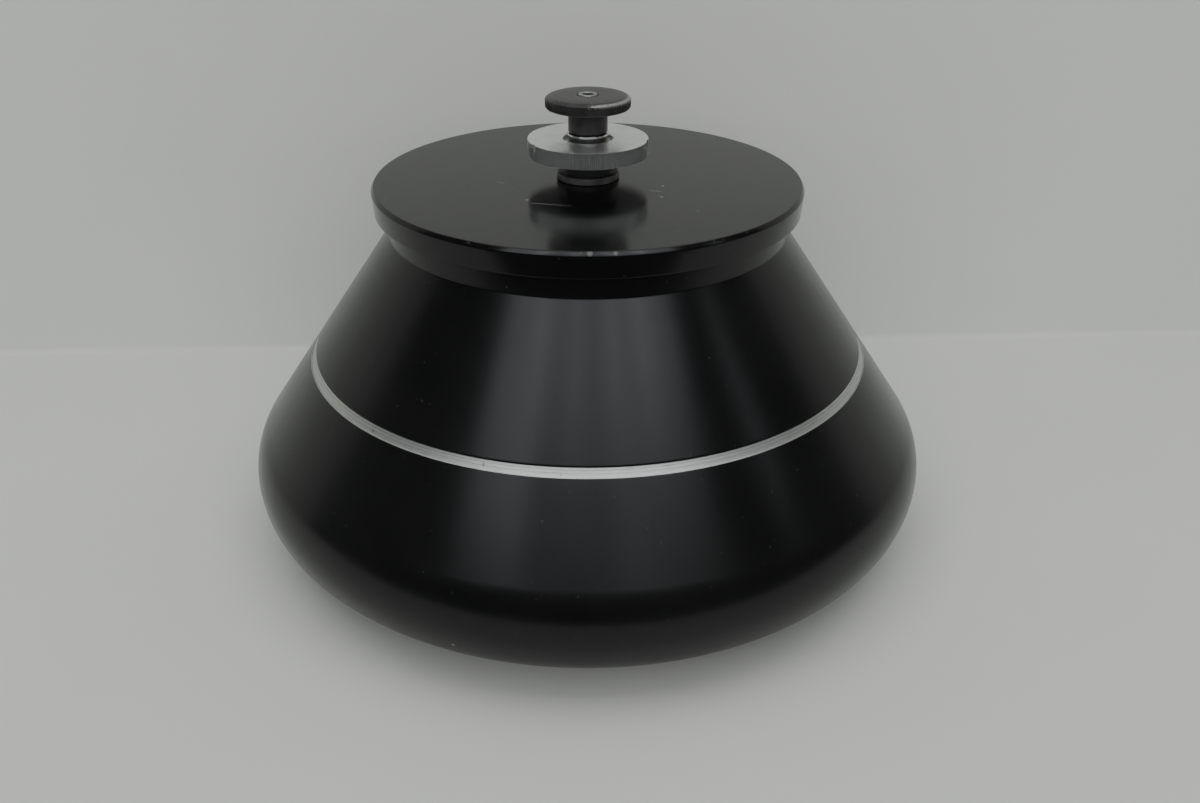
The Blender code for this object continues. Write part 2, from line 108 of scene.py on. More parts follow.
# Lid and the pieces in its middle
LID_TOP_Z = top("lid")
LID_R = radius("lid")
LID_FOOT_Z = 117.6 * MM
LID_FOOT_R = 71.2 * MM
LID_EDGE_DROP = 1.3 * MM
LID_EDGE_IN = 0.8 * MM
SPIGOT_R = 61.4 * MM
SPIGOT_WALL = 8.0 * MM
PLATE_Z = 120.0 * MM
LID_BORE_R = 9.6 * MM
SMALL_GROOVE_HALF = 0.75 * MM
CLIP_GROOVE_HALF = 0.7 * MM
LID_BOSS_R = 18.0 * MM
LID_BOSS_FLARE_R = 20.0 * MM
LID_BOSS_FOOT_Z = 114.0 * MM
SEAL_GROOVE_R = 58.4 * MM
COLLAR_SHANK_R = 9.4 * MM
COLLAR_BORE_R = 8.05 * MM

# Facets round a piece, and the teeth of the two knurls
WIDE_STEPS = 256
KNOB_STEPS = 128
SMALL_STEPS = 64
KNOB_TEETH = 168
TIE_TEETH = 116


# ---- shader maths -------------------------------------------------------------------------------

class Wire:
    """A socket's value. Arithmetic on it adds Math nodes to its material."""

    def __init__(self, paint, socket):
        self.paint = paint
        self.socket = socket

    def math(self, operation, *values):
        return self.paint.node("ShaderNodeMath", {"operation": operation}, list(values), 0)

    def __add__(self, other):
        return self.math("ADD", self, other)

    def __radd__(self, other):
        return self.math("ADD", other, self)

    def __sub__(self, other):
        return self.math("SUBTRACT", self, other)

    def __rsub__(self, other):
        return self.math("SUBTRACT", other, self)

    def __mul__(self, other):
        return self.math("MULTIPLY", self, other)

    def __rmul__(self, other):
        return self.math("MULTIPLY", other, self)

    def __truediv__(self, other):
        return self.math("DIVIDE", self, other)

    def __rtruediv__(self, other):
        return self.math("DIVIDE", other, self)

    def __pow__(self, other):
        return self.math("POWER", self, other)

    def __gt__(self, other):
        return self.math("GREATER_THAN", self, other)

    def __lt__(self, other):
        return self.math("LESS_THAN", self, other)

    def __abs__(self):
        return self.math("ABSOLUTE", self)


class Paint:
    """A material's node tree, ending in one Principled shader."""

    def __init__(self, name):
        self.material = bpy.data.materials.new(name)
        self.material.use_nodes = True
        self.tree = self.material.node_tree
        self.shader = self.tree.nodes["Principled BSDF"]
        here = self.tree.nodes.new("ShaderNodeTexCoord")
        self.place = Wire(self, here.outputs["Object"])
        self.x, self.y, self.z = self.split(self.place)
        self.r = (self.x * self.x + self.y * self.y) ** 0.5
        self.angle = self.x.math("ARCTAN2", self.y, self.x)

    def node(self, kind, settings, values, output):
        """Adds a node, sets its settings first and then its sockets, and returns one output."""
        made = self.tree.nodes.new(kind)
        for key, value in settings.items():
            setattr(made, key, value)
        pairs = values.items() if isinstance(values, dict) else enumerate(values)
        for key, value in pairs:
            if isinstance(value, Wire):
                self.tree.links.new(value.socket, made.inputs[key])
            else:
                made.inputs[key].default_value = value
        return Wire(self, made.outputs[output])

    def split(self, vector):
        parts = self.tree.nodes.new("ShaderNodeSeparateXYZ")
        self.tree.links.new(vector.socket, parts.inputs[0])
        return [Wire(self, out) for out in parts.outputs]

    def join(self, x, y, z):
        return self.node("ShaderNodeCombineXYZ", {}, [x, y, z], 0)

    def noise(self, vector, scale, detail=3.0, rough=0.55):
        values = {"Vector": vector, "Scale": scale, "Detail": detail, "Roughness": rough}
        return self.node("ShaderNodeTexNoise", {}, values, 0)

    def step(self, value, low, high):
        """0 below low, 1 above high and smooth between them."""
        settings = {"interpolation_type": "SMOOTHSTEP"}
        values = {"Value": value, "From Min": low, "From Max": high, "To Min": 0.0, "To Max": 1.0}
        return self.node("ShaderNodeMapRange", settings, values, 0)

    def mix(self, factor, first, second):
        settings = {"data_type": "RGBA"}
        colours = [c if isinstance(c, Wire) else (*c, 1.0) for c in (first, second)]
        return self.node("ShaderNodeMix", settings, {0: factor, 6: colours[0], 7: colours[1]}, 2)

    def bump(self, height, strength, distance, under=None):
        values = {"Height": height, "Strength": strength, "Distance": distance}
        if under is not None:
            values["Normal"] = under
        return self.node("ShaderNodeBump", {}, values, 0)

    def line(self, start, end, width):
        """1 on a thin scratch between two points given as (x, y), 0 away from it."""
        run = Vector(end) - Vector(start)
        length = run.length
        along = ((self.x - start[0]) * run.x + (self.y - start[1]) * run.y) / length
        across = abs((self.x - start[0]) * run.y - (self.y - start[1]) * run.x) / length
        inside = (along > 0.0) * (along < length)
        return inside * (1.0 - self.step(across, width * 0.4, width))

    def spot(self, x, y, z, size):
        """1 at a point, fading to 0 at size away from it."""
        gap = self.node("ShaderNodeVectorMath", {"operation": "DISTANCE"},
                        [self.place, (x, y, z)], 1)
        return 1.0 - self.step(gap, size * 0.5, size)

    def finish(self, colour, rough, metal=None, normal=None, **constants):
        for name, value in (("Base Color", colour), ("Roughness", rough),
                            ("Metallic", metal), ("Normal", normal)):
            if isinstance(value, Wire):
                self.tree.links.new(value.socket, self.shader.inputs[name])
            elif value is not None:
                self.shader.inputs[name].default_value = value
        for name, value in constants.items():
            self.shader.inputs[name.replace("_", " ")].default_value = value
        return self.material


BLACK = (0.0036, 0.0036, 0.0039)
BARE = (0.84, 0.845, 0.83)


def turning_lines(paint, scale=2600.0):
    """Fine rings left by the lathe tool, from radius and height, hardly changing with angle."""
    flat = paint.join(paint.r, paint.z, paint.angle * 0.0004)
    return paint.noise(flat, scale, 4.0, 0.7)


def anodised(name, marks=None, rough=0.24, faded=0.0):
    """Black anodised aluminium: satin, faintly ringed by turning, with dust and small chips."""
    paint = Paint(name)
    rings = turning_lines(paint)
    cloud = paint.noise(paint.place, 22.0, 4.0)
    grime = paint.noise(paint.place, 130.0, 5.0, 0.65)
    dust = paint.step(paint.noise(paint.place, 900.0, 1.0), 0.775, 0.80)
    colour = paint.mix(paint.step(cloud, 0.35, 0.7), BLACK, (0.0056, 0.0056, 0.0058))
    colour = paint.mix(dust * 0.35, colour, (0.09, 0.09, 0.085))
    if faded:
        wear = 0.6 + 0.4 * paint.step(paint.noise(paint.place, 260.0, 5.0), 0.40, 0.62)
        colour = paint.mix(wear * faded, colour, (0.30, 0.30, 0.29))
    roughness = rough + (cloud - 0.5) * 0.10 + (grime - 0.5) * 0.06 + dust * 0.2
    metal = 0.0
    if marks is not None:
        bare = marks(paint)
        colour = paint.mix(bare, colour, (0.36, 0.36, 0.35))
        roughness = roughness + bare * 0.12
        metal = bare * 0.8
    normal = paint.bump(rings, 0.10, 0.02 * MM)
    normal = paint.bump(grime, 0.05, 0.05 * MM, normal)
    return paint.finish(colour, roughness, metal, normal, IOR=1.37)


def lid_marks(paint):
    """The lid's long scratch in front of the knob, short nicks, and two chips on its front edge."""
    z = LID_TOP_Z
    marks = paint.line((-0.0178, -0.0277), (-0.0052, -0.0305), 0.00026)
    marks = marks + paint.line((0.020, -0.0150), (0.0235, -0.0156), 0.0002) * 0.6
    marks = marks + paint.line((-0.030, -0.006), (-0.0275, -0.0071), 0.0002) * 0.5
    for x, y, size, level in ((-0.0192, -0.0245, 0.0006, 0.9), (0.0235, -0.0215, 0.0007, 0.5),
                              (0.0245, -0.0098, 0.0006, 0.6), (0.034, -0.0352, 0.0004, 0.5),
                              (-0.0415, -0.0128, 0.0004, 0.4), (0.012, 0.034, 0.0005, 0.5)):
        marks = marks + paint.spot(x, y, z, size) * level
    front = -LID_R + LID_EDGE_IN * 0.5
    marks = marks + paint.spot(0.0005, front, z - 0.0003, 0.0011) * 0.28
    marks = marks + paint.spot(0.0078, front + 0.0004, z - 0.0004, 0.0009) * 0.22
    worn = paint.step(paint.noise(paint.place, 700.0, 2.0), 0.62, 0.70)
    edge = paint.step(paint.r, LID_R - 1.0 * MM, LID_R - 0.7 * MM)
    edge = edge * (1.0 - paint.step(paint.r, LID_R - 0.55 * MM, LID_R - 0.25 * MM))
    above = paint.step(paint.z, LID_TOP_Z - 1.6 * MM, LID_TOP_Z - 1.3 * MM)
    return marks + edge * above * worn * 0.10


def body_marks(paint):
    """A bright speck low on the front and a few faint rubs."""
    marks = paint.spot(-0.040, -0.1095, 0.0175, 0.0007) * 0.7
    marks = marks + paint.spot(0.062, -0.0855, 0.052, 0.0005) * 0.4
    rub = paint.step(paint.noise(paint.place, 420.0, 2.0), 0.74, 0.78)
    return marks + rub * 0.06


def tie_knob_marks(paint):
    """Anodising worn through to bright metal along the knob's top edge, most at the right front."""
    edge_z = top("tie_down_knob")
    rim = paint.step(paint.r, 12.6 * MM, 13.3 * MM)
    height = paint.step(paint.z, edge_z - 1.9 * MM, edge_z - 0.7 * MM)
    side = paint.step(paint.x * 0.90 - paint.y * 0.42, 0.0015, 0.0115)
    wear = paint.noise(paint.place, 900.0, 3.0)
    worn = paint.step(wear + side * 0.36, 0.60, 0.78)
    scuff = paint.step(paint.noise(paint.place, 500.0, 4.0), 0.66, 0.74) * 0.12
    return rim * height * worn * 0.85 + scuff


def bare_aluminium(name, level=1.0, rough=0.33, dull=0.35):
    """Bare turned aluminium that has dulled: rings, stains and brighter rubbed spots."""
    paint = Paint(name)
    rings = turning_lines(paint, 3200.0)
    stain = paint.noise(paint.place, 160.0, 5.0, 0.65)
    fine = paint.noise(paint.place, 1500.0, 3.0)
    light = tuple(level * c for c in BARE)
    dark = tuple(level * c * 0.55 for c in BARE)
    colour = paint.mix(paint.step(stain, 0.42, 0.68) * dull, light, dark)
    colour = paint.mix(paint.step(rings, 0.50, 0.75) * 0.25, colour, dark)
    roughness = rough + (stain - 0.5) * 0.16 + (fine - 0.5) * 0.10
    normal = paint.bump(rings, 0.35, 0.03 * MM)
    normal = paint.bump(fine, 0.18, 0.03 * MM, normal)
    return paint.finish(colour, roughness, 1.0, normal)


def band_metal():
    """The bare ring cut through the anodising: matt bright metal with tool lines and nicks."""
    paint = Paint("bare_band")
    slope = (paint.z - BAND_Z) / math.cos(CONE_ANGLE)
    wobble = (paint.noise(paint.join(paint.angle * 3.0, 0.0, 0.0), 1.5, 2.0) - 0.5) * 0.5 * MM
    upper = abs(slope + wobble - 0.42 * MM)
    lower = abs(slope - wobble + 0.55 * MM)
    lines = (1.0 - paint.step(upper, 0.06 * MM, 0.17 * MM)) * 0.5
    lines = lines + (1.0 - paint.step(lower, 0.05 * MM, 0.15 * MM)) * 0.35
    flecks = paint.noise(paint.join(paint.angle * 0.055, slope * 3.0, 0.0), 420.0, 4.0, 0.7)
    nick = paint.step(paint.noise(paint.place, 260.0, 4.0), 0.66, 0.72)
    dark = lines + paint.step(flecks, 0.52, 0.72) * 0.35 + nick * 0.7
    dark = dark.math("MINIMUM", dark, 1.0)
    colour = paint.mix(dark, (0.56, 0.565, 0.55), (0.14, 0.14, 0.135))
    roughness = 0.40 + flecks * 0.10
    normal = paint.bump(flecks - dark * 0.6, 0.45, 0.10 * MM)
    return paint.finish(colour, roughness, 1.0, normal)


def steel(name, level, rough):
    paint = Paint(name)
    rings = turning_lines(paint, 4200.0)
    stain = paint.noise(paint.place, 220.0, 4.0)
    light = (level, level * 0.99, level * 0.97)
    dark = tuple(0.6 * c for c in light)
    colour = paint.mix(paint.step(stain, 0.40, 0.72) * 0.5, light, dark)
    roughness = rough + (stain - 0.5) * 0.14 + (rings - 0.5) * 0.08
    return paint.finish(colour, roughness, 1.0, paint.bump(rings, 0.25, 0.02 * MM))


def rubber():
    paint = Paint("greased_rubber")
    grain = paint.noise(paint.place, 1800.0, 3.0)
    grease = paint.step(paint.noise(paint.place, 120.0, 3.0), 0.45, 0.65)
    colour = paint.mix(grease, (0.012, 0.012, 0.012), (0.02, 0.019, 0.017))
    return paint.finish(colour, 0.55 - grease * 0.2, 0.0, paint.bump(grain, 0.2, 0.03 * MM))


def speed_disc_print(count=13):
    """The reflective ring under the rotor: equal dark and light sectors."""
    paint = Paint("speed_disc_print")
    wave = paint.angle.math("SINE", paint.angle * float(count))
    light = paint.step(wave, -0.03, 0.03)
    wear = paint.noise(paint.place, 300.0, 5.0, 0.65)
    colour = paint.mix(light, (0.018, 0.018, 0.018), (0.45, 0.45, 0.44))
    colour = paint.mix(paint.step(wear, 0.60, 0.72) * 0.4, colour, (0.12, 0.12, 0.115))
    return paint.finish(colour, 0.30 + wear * 0.25, light * 0.5, paint.bump(wear, 0.1, 0.02 * MM))


ANODISED_BODY = anodised("anodised_body", body_marks)
ANODISED_LID = anodised("anodised_lid", lid_marks, 0.16)
ANODISED_PLAIN = anodised("anodised_plain", None, 0.34, 0.36)
ANODISED_KNOB = anodised("anodised_knob", tie_knob_marks, 0.34, 0.12)
BAND = band_metal()
SILVER = bare_aluminium("bare_knob", 1.0, 0.36, 0.22)
STEEL = steel("turned_steel", 0.46, 0.30)
BRIGHT = steel("bright_steel", 0.62, 0.20)
DARK = steel("blackened_steel", 0.22, 0.40)
BRASS_RING = bare_aluminium("ring_metal", 0.42, 0.34, 0.5)
RUBBER = rubber()
DISC = speed_disc_print()


# ---- shapes -------------------------------------------------------------------------------------

def arc(middle_r, middle_z, size_r, size_z, start, end, count):
    """Points of a round stretch from one angle to another, in degrees."""
    line = []
    for i in range(count + 1):
        angle = math.radians(start + (end - start) * i / count)
        line.append((middle_r + size_r * math.cos(angle), middle_z + size_z * math.sin(angle)))
    return line


def held_straight(outline):
    """Adds points close to the ends of long runs, so that they shade as straight as they are."""
    line = []
    for start, end in zip(outline, outline[1:] + outline[:1]):
        line.append(start)
        run = math.dist(start, end)
        if run < 2.5 * MM or (end is outline[0] and outline[0][0] == 0.0):
            continue
        for share in (0.5 * MM / run, 0.5, 1.0 - 0.5 * MM / run):
            line.append(tuple(a + (b - a) * share for a, b in zip(start, end)))
    return line


def spin_outline(bm, outline, steps):
    """Turns a closed outline, or one that starts and ends on the axis, into a solid."""
    outline = held_straight(outline)
    verts = [bm.verts.new((r, 0.0, z)) for r, z in outline]
    edges = [bm.edges.new(pair) for pair in zip(verts, verts[1:])]
    if outline[0][0] > 0.0:
        edges.append(bm.edges.new((verts[-1], verts[0])))
    bmesh.ops.spin(bm, geom=verts + edges, cent=(0, 0, 0), axis=(0, 0, 1), angle=TURN,
                   steps=steps, use_merge=True)
    bmesh.ops.remove_doubles(bm, verts=bm.verts, dist=0.0005 * MM)
    bmesh.ops.recalc_face_normals(bm, faces=bm.faces)


def soften(bm, size, segments=3, limit=30.0):
    """Rounds every sharp edge a little, as a deburred edge is."""
    sharp = [e for e in bm.edges
             if len(e.link_faces) == 2 and e.calc_face_angle(0.0) > math.radians(limit)]
    bmesh.ops.bevel(bm, geom=sharp, offset=size, offset_type="OFFSET", segments=segments,
                    profile=0.5, affect="EDGES", clamp_overlap=True, material=-1)


def add_piece(name, bm, materials, limit=32.0):
    """A finished mesh as an object at the origin, smooth except across sharp edges."""
    mesh = bpy.data.meshes.new(name)
    for face in bm.faces:
        face.smooth = True
    bm.to_mesh(mesh)
    bm.free()
    for material in materials:
        mesh.materials.append(material)
    mesh.set_sharp_from_angle(angle=math.radians(limit))
    obj = bpy.data.objects.new(name, mesh)
    bpy.context.scene.collection.objects.link(obj)
    return obj


def stand_for(obj, node, body):
    """The piece takes the place of a CAD node and moves with that node's body."""
    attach(obj, body)
    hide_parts(node)
    return obj


def turned(name, outline, steps, materials, edge=0.2 * MM, at=(0.0, 0.0)):
    bm = bmesh.new()
    spin_outline(bm, outline, steps)
    if edge:
        soften(bm, edge)
    bmesh.ops.translate(bm, verts=bm.verts, vec=(at[0], at[1], 0.0))
    return add_piece(name, bm, materials)


def carve(obj, cutters):
    """Cuts the cutters out of a piece for good and removes them."""
    for cutter in cutters:
        mod = obj.modifiers.new("cut", "BOOLEAN")
        mod.operation = "DIFFERENCE"
        mod.solver = "EXACT"
        mod.object = cutter
    graph = bpy.context.evaluated_depsgraph_get()
    mesh = bpy.data.meshes.new_from_object(obj.evaluated_get(graph))
    obj.modifiers.clear()
    old = obj.data
    obj.data = mesh
    bpy.data.meshes.remove(old)
    for cutter in cutters:
        bpy.data.objects.remove(cutter, do_unlink=True)
    mesh.set_sharp_from_angle(angle=math.radians(32.0))
    return obj


def plug(outline, steps, matrix=None):
    """A turned cutter."""
    bm = bmesh.new()
    spin_outline(bm, outline, steps)
    if matrix is not None:
        bmesh.ops.transform(bm, matrix=matrix, verts=bm.verts)
    return add_piece("cutter", bm, [])


def rod(size, low, high):
    return [(0.0, high), (size, high), (size, low), (0.0, low)]


def groove(outer_r, inner_r, middle_z, half):
    """The four points of a groove in a turned outline that runs downwards."""
    return [(outer_r, middle_z + half), (inner_r, middle_z + half),
            (inner_r, middle_z - half), (outer_r, middle_z - half)]


def shift(x, y, z=0.0):
    return Matrix.Translation(Vector((x, y, z)))


def helix(bm, root_r, crest_r, low, high, pitch, per_turn=40):
    """A thread's ridge, closed at both ends, wound round the axis from low to high."""
    half = pitch * 0.42
    verts = [bm.verts.new((r, 0.0, z)) for r, z in
             ((root_r, low - half), (crest_r, low), (root_r, low + half))]
    edges = [bm.edges.new((verts[i], verts[(i + 1) % 3])) for i in range(3)]
    steps = int((high - low) / pitch * per_turn)
    made = bmesh.ops.spin(bm, geom=verts + edges, cent=(0, 0, 0), axis=(0, 0, 1),
                          dvec=(0.0, 0.0, pitch / per_turn), angle=TURN * steps / per_turn,
                          steps=steps)
    ends = edges + [e for e in made["geom_last"] if isinstance(e, bmesh.types.BMEdge)]
    bmesh.ops.holes_fill(bm, edges=ends, sides=4)
    bmesh.ops.recalc_face_normals(bm, faces=bm.faces)


def knurl(bm, size, depth, low, high, blend=0.5 * MM):
    """Presses alternate columns of a rim's vertices in, for straight knurling."""
    for vert in bm.verts:
        r = math.hypot(vert.co.x, vert.co.y)
        if r < size - 0.12 * MM or not low - 1e-7 <= vert.co.z <= high + 1e-7:
            continue
        if vert.index % 2:
            fade = min(1.0, (vert.co.z - low) / blend, (high - vert.co.z) / blend)
            scale = 1.0 - depth * max(0.0, fade) / r
            vert.co.x *= scale
            vert.co.y *= scale


def number_columns(bm, steps):
    """Gives each vertex the number of its column round the axis, in vert.index."""
    for vert in bm.verts:
        angle = math.atan2(vert.co.y, vert.co.x) % TURN
        vert.index = round(angle / TURN * steps) % steps


# ---- the body -----------------------------------------------------------------------------------

def body_outline():
    middle_r = BODY_R - SHOULDER_R
    angle = math.degrees(CONE_ANGLE)
    shoulder = arc(middle_r, BELLY_Z, SHOULDER_R, SHOULDER_R, angle, 0.0, 14)
    start_r, start_z = shoulder[0]
    slope = math.tan(CONE_ANGLE)
    band_r = start_r - (BAND_Z - start_z) * slope
    run_r = math.sin(CONE_ANGLE) * BAND_WIDTH / 2.0
    run_z = math.cos(CONE_ANGLE) * BAND_WIDTH / 2.0
    in_r = math.cos(CONE_ANGLE) * BAND_DEPTH
    in_z = math.sin(CONE_ANGLE) * BAND_DEPTH
    line = [(NECK_R, RIM_Z), (NECK_R, start_z + (start_r - NECK_R) / slope)]
    line += [(band_r - run_r, BAND_Z + run_z), (band_r - run_r - in_r, BAND_Z + run_z - in_z)]
    line += [(band_r + run_r - in_r, BAND_Z - run_z - in_z), (band_r + run_r, BAND_Z - run_z)]
    line += shoulder
    line += arc(BASE_R, BELLY_Z, BODY_R - BASE_R, BELLY_Z, 0.0, -90.0, 22)[1:]
    line += [(RING_RECESS_R, 0.0), (RING_RECESS_R, RING_RECESS_TOP_Z)]
    line += [(RING_RECESS_IN_R, RING_RECESS_TOP_Z), (RING_RECESS_IN_R, 0.0)]
    line += [(HUB_SEAT_R, 0.0), (HUB_SEAT_R, HUB_SEAT_Z), (HUB_BORE_R, HUB_SEAT_Z)]
    line += [(HUB_BORE_R, HUB_BORE_Z), (CORE_BORE_R, HUB_BORE_Z), (CORE_BORE_R, POST_SEAT_Z)]
    line += [(POST_BORE_R, POST_SEAT_Z), (POST_BORE_R, BOSS_TOP_Z), (BOSS_R, BOSS_TOP_Z)]
    mouth_r = CAVITY_END_R - CAVITY_DEPTH * math.sin(CAVITY_TILT)
    mouth_z = CAVITY_END_Z + CAVITY_DEPTH * math.cos(CAVITY_TILT)
    for r in (BOSS_R, RIM_BORE_R):
        line.append((r, mouth_z + (r - mouth_r) * math.tan(CAVITY_TILT)))
    line.append((RIM_BORE_R, RIM_Z))
    return line


def cavity_plug(index):
    """One tube cavity: round-ended, with a small flare at its mouth."""
    flare = 0.9 * MM
    mouth = CAVITY_DEPTH + 8.0 * MM
    line = [(0.0, mouth), (CAVITY_R + flare * 1.6, mouth)]
    line += [(CAVITY_R + flare * 1.6, CAVITY_DEPTH + flare * 0.6)]
    line += [(CAVITY_R, CAVITY_DEPTH - flare)]
    line += arc(0.0, 0.0, CAVITY_R, CAVITY_R, 0.0, -90.0, 16)
    line[-1] = (0.0, -CAVITY_R)
    turn = Matrix.Rotation(TURN * index / CAVITY_COUNT, 4, "Z")
    lean = Matrix.Rotation(-CAVITY_TILT, 4, "Y")
    return plug(line, 64, turn @ shift(CAVITY_END_R, 0.0, CAVITY_END_Z) @ lean)


def make_body():
    bm = bmesh.new()
    spin_outline(bm, body_outline(), WIDE_STEPS)
    soften(bm, 0.16 * MM, 2, 24.0)
    reach = BAND_WIDTH / 2.0 - 0.1 * MM
    for face in bm.faces:
        place = face.calc_center_median()
        up = abs(place.z - BAND_Z + BAND_DEPTH * math.sin(CONE_ANGLE))
        if up < reach * math.cos(CONE_ANGLE) and math.hypot(place.x, place.y) > NECK_R:
            face.material_index = 1
    body = add_piece("body_shell", bm, [ANODISED_BODY, BAND])
    cutters = [cavity_plug(i) for i in range(CAVITY_COUNT)]
    for i in range(4):
        x, y = centre(f"hub_screw_{i + 1}")
        cutters.append(plug(rod(SCREW_BORE_R, 10.0 * MM, 18.3 * MM), 24, shift(x, y)))
    carve(body, cutters)
    stand_for(body, "rotor_body", "rotor")


def make_post():
    """The steel insert in the boss, with the thread that takes the lid's sleeve."""
    low, high, size = foot("threaded_post"), top("threaded_post"), radius("threaded_post")
    bm = bmesh.new()
    spin_outline(bm, [(size, high), (size, low), (8.6 * MM, low), (8.6 * MM, high)], 96)
    soften(bm, 0.5 * MM, 3)
    helix(bm, 8.62 * MM, 8.05 * MM, low + 1.5 * MM, high - 1.6 * MM, 1.5 * MM)
    stand_for(add_piece("threaded_insert", bm, [STEEL]), "threaded_post", "rotor")


def make_hub():
    low, high = foot("drive_hub"), top("drive_hub")
    size = radius("drive_hub")
    roof = high - 8.0 * MM
    hub = turned("hub", [
        (24.0 * MM, high), (24.0 * MM, low + 6.0 * MM), (size, low + 6.0 * MM), (size, low),
        (13.0 * MM, low), (11.0 * MM, roof), (5.4 * MM, roof), (5.4 * MM, high),
    ], 128, [STEEL], 0.4 * MM)
    cutters = []
    for i in range(4):
        x, y = centre(f"hub_screw_{i + 1}")
        cutters.append(plug(rod(SCREW_BORE_R, low - CUT_PAST, low + 7.0 * MM), 24, shift(x, y)))
    for i in range(2):
        x, y = centre(f"drive_pin_{i + 1}")
        cutters.append(plug(rod(PIN_BORE_R, low - CUT_PAST, 14.3 * MM), 32, shift(x, y)))
    carve(hub, cutters)
    stand_for(hub, "drive_hub", "rotor")


def make_pins_and_screws():
    for i in range(2):
        node = f"drive_pin_{i + 1}"
        size = radius(node)
        pin = turned(f"dowel_{i + 1}", rod(size, foot(node), top(node)), 32, [BRIGHT], 0.5 * MM,
                     centre(node))
        stand_for(pin, node, "rotor")
    for i in range(4):
        node = f"hub_screw_{i + 1}"
        low, head = foot(node), foot(node) + 2.6 * MM
        size = radius(node)
        screw = turned(f"socket_screw_{i + 1}", [
            (0.0, top(node)), (1.5 * MM, top(node)), (1.5 * MM, head), (size, head),
            (size, low), (0.0, low),
        ], 36, [DARK], 0.25 * MM, centre(node))
        x, y = centre(node)
        carve(screw, [plug(rod(HEX_R, low - CUT_PAST, low + HEX_DEPTH), 6, shift(x, y))])
        stand_for(screw, node, "rotor")


def make_speed_ring():
    node = "speed_ring"
    size = radius(node)
    ring = turned("speed_disc_ring", [
        (size, top(node)), (size, foot(node)), (40.0 * MM, foot(node)), (40.0 * MM, top(node)),
    ], WIDE_STEPS, [DISC], 0.1 * MM)
    stand_for(ring, node, "rotor")


# ---- the lid ------------------------------------------------------------------------------------

def make_lid():
    seal_z = (foot("lid_o_ring") + top("lid_o_ring")) / 2.0
    half = 1.8 * MM
    plate_r = SPIGOT_R - SPIGOT_WALL
    low = foot("lid")
    lid = turned("lid_plate", [
        (LID_R - LID_EDGE_IN, LID_TOP_Z), (LID_R, LID_TOP_Z - LID_EDGE_DROP),
        (LID_FOOT_R, LID_FOOT_Z), (SPIGOT_R, LID_FOOT_Z), (SPIGOT_R, seal_z + half),
        (SEAL_GROOVE_R, seal_z + half), (SEAL_GROOVE_R, seal_z - half),
        (SPIGOT_R, seal_z - half),
        (SPIGOT_R, low), (plate_r, low), (plate_r, PLATE_Z), (LID_BOSS_FLARE_R, PLATE_Z),
        (LID_BOSS_R, LID_BOSS_FOOT_Z), (LID_BORE_R, LID_BOSS_FOOT_Z), (LID_BORE_R, LID_TOP_Z),
    ], WIDE_STEPS, [ANODISED_LID], 0.22 * MM)
    stand_for(lid, "lid", "lid")
    node = "lid_collar"
    collar = turned("collar", [
        (radius(node), top(node)), (radius(node), LID_TOP_Z + 0.02 * MM),
        (COLLAR_SHANK_R, LID_TOP_Z + 0.02 * MM), (COLLAR_SHANK_R, foot(node)),
        (COLLAR_BORE_R, foot(node)), (COLLAR_BORE_R, top(node)),
    ], KNOB_STEPS, [ANODISED_PLAIN], 0.35 * MM)
    stand_for(collar, node, "lid")


def make_o_ring(name, node, body, steps):
    size = radius(node)
    cord = (top(node) - foot(node)) / 2.0
    middle_z = (top(node) + foot(node)) / 2.0
    line = arc(size - cord, middle_z, cord, cord, 0.0, -345.0, 23)
    stand_for(turned(name, line, steps, [RUBBER], 0.0), node, body)


def make_clip(name, node, body, bore):
    """A spring clip: a flat ring open at one side."""
    low, high, size = foot(node), top(node), radius(node)
    bm = bmesh.new()
    line = ((size, high), (size, low), (bore, low), (bore, high))
    verts = [bm.verts.new((r, 0.0, z)) for r, z in line]
    section = bm.faces.new(verts)
    opening = math.radians(34.0)
    bmesh.ops.spin(bm, geom=[section], cent=(0, 0, 0), axis=(0, 0, 1), angle=TURN - opening,
                   steps=60, use_duplicate=False)
    bmesh.ops.recalc_face_normals(bm, faces=bm.faces)
    soften(bm, 0.12 * MM, 2)
    stand_for(add_piece(name, bm, [BRIGHT]), node, body)


# ---- the lid knob -------------------------------------------------------------------------------

def make_lid_knob():
    node = "lid_knob"
    low, high, size = foot(node), top(node), radius(node)
    steps = KNOB_TEETH * 2
    well_r, well_z = 8.3 * MM, high - 2.2 * MM
    bm = bmesh.new()
    spin_outline(bm, [
        (size - 0.55 * MM, high), (size - 0.12 * MM, high - 0.14 * MM),
        (size, high - 0.50 * MM), (size, (low + high) / 2.0), (size, low + 0.5 * MM),
        (size - 0.15 * MM, low + 0.14 * MM), (size - 0.55 * MM, low), (7.3 * MM, low),
        (7.3 * MM, well_z), (well_r, well_z),
        (well_r, high - 0.35 * MM), (well_r + 0.35 * MM, high),
    ], steps)
    number_columns(bm, steps)
    knurl(bm, size, 0.30 * MM, low + 0.2 * MM, high - 0.15 * MM, 0.2 * MM)
    dent_rim(bm, size)
    stand_for(add_piece("knurled_lid_knob", bm, [SILVER], 40.0), node, "lid_knob")


def dent_rim(bm, size):
    """Knocks on the rim: a bruise at the right and two smaller ones."""
    for angle, drop, depth, reach in ((-12.0, 1.2, 0.85, 1.5), (-20.0, 3.4, 0.45, 1.0),
                                      (-152.0, 0.4, 0.35, 1.1)):
        turn = math.radians(angle)
        spot = Vector((size * math.cos(turn), size * math.sin(turn),
                       top("lid_knob") - drop * MM))
        for vert in bm.verts:
            gap = (vert.co - spot).length / (reach * MM)
            if gap < 1.0:
                inward = Vector((-vert.co.x, -vert.co.y, 0.0)).normalized()
                vert.co += inward * depth * MM * (1.0 - gap * gap)


